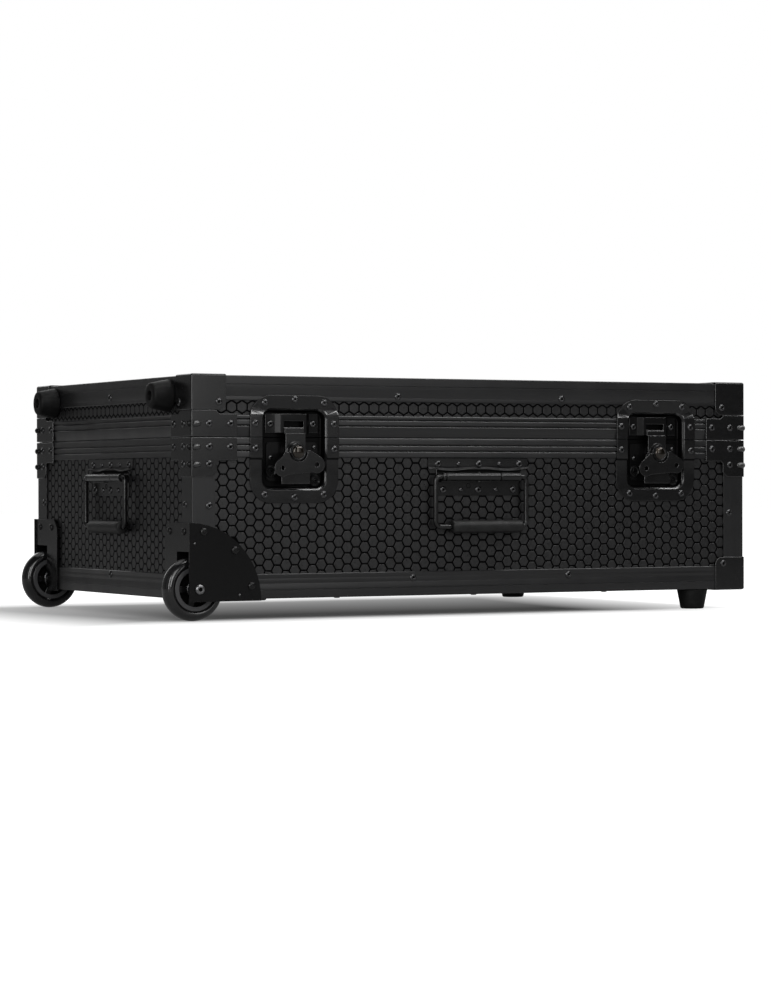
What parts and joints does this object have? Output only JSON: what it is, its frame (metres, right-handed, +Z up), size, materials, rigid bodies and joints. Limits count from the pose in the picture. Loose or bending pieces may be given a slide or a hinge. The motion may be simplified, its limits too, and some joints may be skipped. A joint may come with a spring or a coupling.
{
  "type": "lighting fixture flight case",
  "caption": "Low black road case with aluminium edges, hinged lid, recessed butterfly latches, sprung handles, wheels and feet at the ends, and a foam insert.",
  "frame": {"origin": "on the floor, under the middle of the whole case with its wheels and handles", "axes": "+X along the case's length, away from the wheels; -Y is the latched front; +Z up"},
  "size_m": [0.8246, 0.5224, 0.2919],
  "materials": {
    "anodised_aluminium": "black anodised, satin",
    "hexagon_laminate": "plywood faced with black hexagon-pattern laminate",
    "black_steel": "black zinc, satin",
    "kick_steel": "black powder coat, satin",
    "bare_steel": "zinc plated",
    "brass": "brass plated, worn",
    "rubber": "black, matt",
    "tyre_urethane": "black polyurethane, glossy",
    "hub_plastic": "dark grey nylon",
    "foam": "charcoal polyethylene foam, matt"
  },
  "bodies": {
    "base": {"base_walls": "hexagon_laminate", "base_bottom_panel": "hexagon_laminate", "bottom_edge_frame": "anodised_aluminium", "base_rim_frame": "anodised_aluminium", "corner_post_front_left": "anodised_aluminium", "corner_post_front_right": "anodised_aluminium", "corner_post_back_left": "anodised_aluminium", "corner_post_back_right": "anodised_aluminium", "base_split_bracket_front_left": "black_steel", "base_split_bracket_front_right": "black_steel", "base_split_bracket_back_left": "black_steel", "base_split_bracket_back_right": "black_steel", "base_corner_cap_front_right": "black_steel", "base_corner_cap_back_right": "black_steel", "wheel_housing_front": "kick_steel", "wheel_housing_back": "kick_steel", "wheel_axle_front": "bare_steel", "wheel_axle_back": "bare_steel", "base_foot_front": "rubber", "base_foot_back": "rubber", "latch_left_base_dish": "black_steel", "latch_right_base_dish": "black_steel", "front_handle_plate": "black_steel", "left_handle_plate": "black_steel", "right_handle_plate": "black_steel", "hinge_base_leaf": "black_steel", "foam_insert": "foam"},
    "lid": {"lid_walls": "hexagon_laminate", "lid_top_panel": "hexagon_laminate", "lid_edge_frame": "anodised_aluminium", "lid_rim_frame": "anodised_aluminium", "lid_split_bracket_front_left": "black_steel", "lid_split_bracket_front_right": "black_steel", "lid_split_bracket_back_left": "black_steel", "lid_split_bracket_back_right": "black_steel", "lid_corner_cap_front_left": "black_steel", "lid_corner_cap_front_right": "black_steel", "lid_corner_cap_back_left": "black_steel", "lid_corner_cap_back_right": "black_steel", "end_foot_front": "rubber", "end_foot_back": "rubber", "latch_left_lid_dish": "black_steel", "latch_right_lid_dish": "black_steel", "hinge_lid_leaf": "black_steel"},
    "wheel_front": {"wheel_hub_front": "hub_plastic", "wheel_tyre_front": "tyre_urethane"},
    "wheel_back": {"wheel_hub_back": "hub_plastic", "wheel_tyre_back": "tyre_urethane"},
    "handle_front": {"front_handle_bail": "black_steel", "front_handle_grip": "rubber"},
    "handle_left": {"left_handle_bail": "black_steel", "left_handle_grip": "rubber"},
    "handle_right": {"right_handle_bail": "black_steel", "right_handle_grip": "rubber"},
    "latch_left_rotor": {"latch_left_rotor": "brass"},
    "latch_left_wing": {"latch_left_wing": "black_steel"},
    "latch_left_strap": {"latch_left_strap": "black_steel"},
    "latch_right_rotor": {"latch_right_rotor": "brass"},
    "latch_right_wing": {"latch_right_wing": "black_steel"},
    "latch_right_strap": {"latch_right_strap": "black_steel"}
  },
  "joints": [
    {"name": "lid_hinge", "type": "hinge", "parent": "base", "child": "lid", "pos_m": [0.00715, 0.25775, 0.2173], "axis": [-1, 0, 0], "range_deg": [0, 95]},
    {"name": "wheel_front_spin", "type": "hinge", "parent": "base", "child": "wheel_front", "pos_m": [-0.37435, -0.22655, 0.038], "axis": [0, 1, 0], "continuous": true},
    {"name": "wheel_back_spin", "type": "hinge", "parent": "base", "child": "wheel_back", "pos_m": [-0.37435, 0.23445, 0.038], "axis": [0, 1, 0], "continuous": true},
    {"name": "front_handle_swing", "type": "hinge", "parent": "base", "child": "handle_front", "pos_m": [0.00315, -0.25325, 0.17], "axis": [-1, 0, 0], "range_deg": [0, 90], "stiffness_Nm_per_rad": 0.15, "springref_deg": -20.05},
    {"name": "left_handle_swing", "type": "hinge", "parent": "base", "child": "handle_left", "pos_m": [-0.39005, 0.00395, 0.17], "axis": [0, 1, 0], "range_deg": [0, 90], "stiffness_Nm_per_rad": 0.15, "springref_deg": -20.05},
    {"name": "right_handle_swing", "type": "hinge", "parent": "base", "child": "handle_right", "pos_m": [0.40435, 0.00395, 0.17], "axis": [0, -1, 0], "range_deg": [0, 90], "stiffness_Nm_per_rad": 0.15, "springref_deg": -20.05},
    {"name": "latch_left_turn", "type": "hinge", "parent": "base", "child": "latch_left_rotor", "pos_m": [-0.24885, -0.24605, 0.1998], "axis": [0, 1, 0], "range_deg": [0, 180]},
    {"name": "latch_left_wing_fold", "type": "hinge", "parent": "latch_left_rotor", "child": "latch_left_wing", "pos_m": [-0.24885, -0.25665, 0.1998], "axis": [-0.9962, 0, -0.0872], "range_deg": [0, 90]},
    {"name": "latch_left_strap_lift", "type": "slide", "parent": "base", "child": "latch_left_strap", "axis": [0, 0, 1], "range_m": [0, 0.01]},
    {"name": "latch_right_turn", "type": "hinge", "parent": "base", "child": "latch_right_rotor", "pos_m": [0.26315, -0.24605, 0.1998], "axis": [0, 1, 0], "range_deg": [0, 180]},
    {"name": "latch_right_wing_fold", "type": "hinge", "parent": "latch_right_rotor", "child": "latch_right_wing", "pos_m": [0.26315, -0.25665, 0.1998], "axis": [-0.9962, 0, -0.0872], "range_deg": [0, 90]},
    {"name": "latch_right_strap_lift", "type": "slide", "parent": "base", "child": "latch_right_strap", "axis": [0, 0, 1], "range_m": [0, 0.01]}
  ],
  "couplings": [
    {"joint": "latch_left_strap_lift", "follows": "latch_left_turn", "m_per_rad": 0.00318},
    {"joint": "latch_right_strap_lift", "follows": "latch_right_turn", "m_per_rad": 0.00318}
  ]
}
